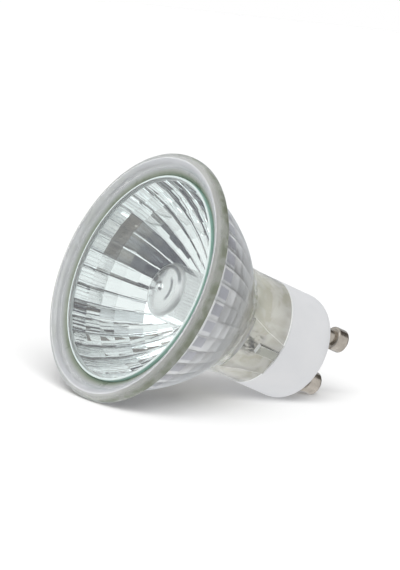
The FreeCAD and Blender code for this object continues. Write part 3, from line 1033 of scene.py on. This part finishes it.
# Finishes of the pieces that keep their solids' shapes
NODE_FINISHES = [
    (CERAMIC, ["ceramic_base"]),
    (NICKEL, ["contact_pin_a", "contact_pin_b"]),
    (TUNGSTEN, ["filament", "filament_support", "inner_lead_a", "inner_lead_b"]),
    (MOLYBDENUM, ["foil_a", "foil_b", "outer_lead_a", "outer_lead_b"]),
    (CEMENT, ["burner_cement", "base_cement"]),
]
for finish, node_names in NODE_FINISHES:
    for node_name in node_names:
        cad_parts[node_name].data.materials[0] = finish


# Camera, turned so that the photograph's middle pixel is straight ahead
def view_axes():
    """The photograph's right, down and away directions in the bulb's frame."""
    sin_view, cos_view = math.sin(VIEW_OFF_AXIS), math.cos(VIEW_OFF_AXIS)
    sin_slope, cos_slope = math.sin(AXIS_SLOPE), math.cos(AXIS_SLOPE)
    sin_turn, cos_turn = math.sin(PIN_TURN), math.cos(PIN_TURN)
    right = Vector((cos_turn * cos_view * cos_slope + sin_turn * sin_slope,
                    sin_turn * cos_view * cos_slope - cos_turn * sin_slope,
                    sin_view * cos_slope))
    down = Vector((cos_turn * cos_view * sin_slope - sin_turn * cos_slope,
                   sin_turn * cos_view * sin_slope + cos_turn * cos_slope,
                   sin_view * sin_slope))
    away = Vector((-cos_turn * sin_view, -sin_turn * sin_view, cos_view))
    return right, down, away


RIGHT, DOWN, AWAY = view_axes()


def axes_matrix(x_axis, y_axis, z_axis, spot):
    turn = Matrix((x_axis, y_axis, z_axis)).transposed()
    return Matrix.Translation(spot) @ turn.to_4x4()


def add_camera():
    across = (PHOTO_WIDTH / 2 - ORIGIN_PIXEL_X) / PIXELS_PER_METRE
    below = (PHOTO_HEIGHT / 2 - ORIGIN_PIXEL_Y) / PIXELS_PER_METRE
    forward = (AWAY * CAMERA_DISTANCE + RIGHT * across + DOWN * below).normalized()
    side = forward.cross(-DOWN).normalized()
    data = bpy.data.cameras.new("photo_camera")
    data.sensor_width = SENSOR_SIDE
    data.lens = SENSOR_SIDE * PIXELS_PER_METRE * CAMERA_DISTANCE / PHOTO_HEIGHT
    data.clip_start = CLIP_START
    camera = bpy.data.objects.new("photo_camera", data)
    camera.matrix_world = axes_matrix(side, side.cross(forward), -forward, -AWAY * CAMERA_DISTANCE)
    bpy.context.scene.collection.objects.link(camera)
    bpy.context.scene.camera = camera


add_camera()


# Stage helpers
def add_seen_mask(tree):
    """One for what the camera, mirrors and glass see, nothing for light that falls on matt surfaces."""
    path = add_node(tree, "ShaderNodeLightPath")
    direct = add_math(tree, "MAXIMUM", path.outputs["Is Camera Ray"], path.outputs["Is Glossy Ray"])
    return add_math(tree, "MAXIMUM", direct, path.outputs["Is Transmission Ray"])


def mix_to_output(tree, share, first, second):
    """Give the material a surface mixed from two shaders."""
    pick = add_node(tree, "ShaderNodeMixShader", {0: share, 1: first.outputs[0], 2: second.outputs[0]})
    add_node(tree, "ShaderNodeOutputMaterial", {"Surface": pick.outputs[0]})


# Floor, which only shows from above
def floor_axes():
    """Two directions along the table and its upward direction."""
    along = math.cos(AXIS_SLOPE) * RIGHT + math.sin(AXIS_SLOPE) * DOWN
    over = math.sin(AXIS_SLOPE) * RIGHT - math.cos(AXIS_SLOPE) * DOWN
    sin_height = math.sin(CAMERA_HEIGHT_ANGLE)
    lean = (sin_height * math.cos(VIEW_OFF_AXIS) - math.sin(LYING_TILT)) / math.sin(VIEW_OFF_AXIS)
    rise = math.sqrt(1 - sin_height ** 2 - lean ** 2)
    up = (lean * along + rise * over - sin_height * AWAY).normalized()
    across = AWAY.cross(up).normalized()
    return across, up.cross(across), up


def make_floor_material():
    """Matt white with a faint glow, and clear from below."""
    material = bpy.data.materials.new("floor")
    tree = empty_tree(material)
    glow = add_product(tree, add_seen_mask(tree), FLOOR_GLOW)
    light = add_node(tree, "ShaderNodeEmission", {"Strength": glow})
    paint = add_node(tree, "ShaderNodeBsdfDiffuse", {"Color": (FLOOR_WHITE, FLOOR_WHITE, FLOOR_WHITE)})
    both = add_node(tree, "ShaderNodeAddShader", {0: light.outputs[0], 1: paint.outputs[0]})
    below = add_node(tree, "ShaderNodeNewGeometry").outputs["Backfacing"]
    mix_to_output(tree, below, both, add_node(tree, "ShaderNodeBsdfTransparent"))
    return material


def add_floor():
    across, back, up = floor_axes()
    bpy.ops.mesh.primitive_plane_add(size=FLOOR_SIDE)
    floor = finish_object("floor")
    floor.matrix_world = axes_matrix(across, back, up, -up * FLOOR_DROP)
    give_material(floor, make_floor_material())
    floor.visible_glossy = False
    floor.visible_transmission = False
    floor.visible_diffuse = False
    return floor


FLOOR = add_floor()


# Studio: white all round, with one soft lamp and cards that only the mirror and the glass show
def direction(left_deg, up_deg):
    """A direction from the bulb, turned left and up from the one to the camera."""
    left = math.radians(left_deg)
    up = math.radians(up_deg)
    level = math.cos(left) * -AWAY - math.sin(left) * RIGHT
    return math.cos(up) * level - math.sin(up) * DOWN


def make_card_material(name, tones, streaks, ramp):
    """A card's glow, from one tone to the other across it, which light for matt surfaces passes by."""
    material = bpy.data.materials.new(name)
    tree = empty_tree(material)
    where = add_node(tree, "ShaderNodeTexCoord").outputs["Generated"]
    noise = add_noise(tree, add_stretch(tree, where, (18, 3, 1)), 1.0, 2.0)
    swing = add_range(tree, noise, 0.3, 0.7, -streaks, streaks)
    across = add_math(tree, "ADD", add_split(tree, where)[0], swing)
    tone = add_mix(tree, add_range(tree, across, *ramp, 0, 1), *tones)
    light = add_node(tree, "ShaderNodeEmission", {"Color": tone})
    depth = add_node(tree, "ShaderNodeLightPath").outputs["Diffuse Depth"]
    matt = add_math(tree, "GREATER_THAN", depth, 0.5)
    mix_to_output(tree, matt, light, add_node(tree, "ShaderNodeBsdfTransparent"))
    return material


def add_card(name, aim, size, roll_deg, distance, tones, streaks, in_glass, in_metal, ramp=(0, 1)):
    """A card that faces the bulb: its middle's direction and its size seen from the bulb, in degrees."""
    towards = direction(*aim)
    side = towards.cross(-DOWN).normalized()
    top = side.cross(towards)
    roll = Matrix.Rotation(math.radians(roll_deg), 3, towards)
    bpy.ops.mesh.primitive_plane_add(size=2)
    card = finish_object(name)
    half_wide, half_high = [distance * math.tan(math.radians(degrees / 2)) for degrees in size]
    for vertex in card.data.vertices:
        vertex.co.x *= half_wide
        vertex.co.y *= half_high
    card.matrix_world = axes_matrix(roll @ side, roll @ top, -towards, towards * distance)
    give_material(card, make_card_material(name, tones, streaks, ramp))
    card.visible_camera = False
    card.visible_diffuse = False
    card.visible_shadow = False
    card.visible_transmission = in_glass
    card.visible_glossy = in_metal


add_card("dark_card", (5, -33), (100, 55), -30, 0.7, ((0.17, 0.14, 0.10), (0.0, 0.005, 0.025)), 0.12,
         in_glass=True, in_metal=False, ramp=(0.38, 0.62))
add_card("grey_card", (-18, 60), (70, 36), 0, 0.7, ((0.64, 0.66, 0.68), (0.72, 0.74, 0.76)), 0.2,
         in_glass=True, in_metal=False)
add_card("backdrop", (180, 8), (110, 90), 0, 0.6, ((0.55, 0.57, 0.60), (0.66, 0.68, 0.70)), 0.0,
         in_glass=True, in_metal=True)
add_card("side_card", (-115, 10), (40, 70), 0, 0.6, ((0.08, 0.07, 0.06), (0.2, 0.19, 0.18)), 0.0,
         in_glass=False, in_metal=True)


def add_soft_lamp(left_deg, up_deg, wide, high, distance, radiance):
    towards = direction(left_deg, up_deg)
    data = bpy.data.lights.new("soft_lamp", "AREA")
    data.shape = "RECTANGLE"
    data.size = wide
    data.size_y = high
    data.energy = radiance * math.pi * wide * high
    lamp = bpy.data.objects.new("soft_lamp", data)
    side = towards.cross(-DOWN).normalized()
    lamp.matrix_world = axes_matrix(side, towards.cross(side), towards, towards * distance)
    lamp.visible_camera = False
    bpy.context.scene.collection.objects.link(lamp)


add_soft_lamp(33, 43, wide=0.30, high=0.44, distance=0.55, radiance=1.5)


def add_floor_sun():
    """An overhead light for the floor alone, so that the bulb's shadow has a dark middle."""
    across, back, up = floor_axes()
    level = math.cos(SUN_TURN) * -back + math.sin(SUN_TURN) * -across
    towards = math.cos(SUN_LEAN) * up + math.sin(SUN_LEAN) * level
    data = bpy.data.lights.new("floor_sun", "SUN")
    data.energy = SUN_LIGHT * math.pi / FLOOR_WHITE / math.cos(SUN_LEAN)
    data.angle = SUN_SOFTNESS
    sun = bpy.data.objects.new("floor_sun", data)
    side = towards.cross(across).normalized()
    sun.matrix_world = axes_matrix(side.cross(towards), side, towards, towards)
    only_floor = bpy.data.collections.new("floor_only")
    only_floor.objects.link(FLOOR)
    sun.light_linking.receiver_collection = only_floor
    bpy.context.scene.collection.objects.link(sun)


add_floor_sun()


def make_world():
    """White all round, a little dimmer for light that falls on matt surfaces."""
    world = bpy.data.worlds.new("studio")
    tree = empty_tree(world)
    level = add_range(tree, add_seen_mask(tree), 0, 1, WORLD_FILL, 1)
    sky = add_node(tree, "ShaderNodeBackground", {"Color": (1, 1, 1), "Strength": level})
    add_node(tree, "ShaderNodeOutputWorld", {"Surface": sky.outputs[0]})
    bpy.context.scene.world = world


make_world()
bpy.context.scene.view_settings.view_transform = "Standard"
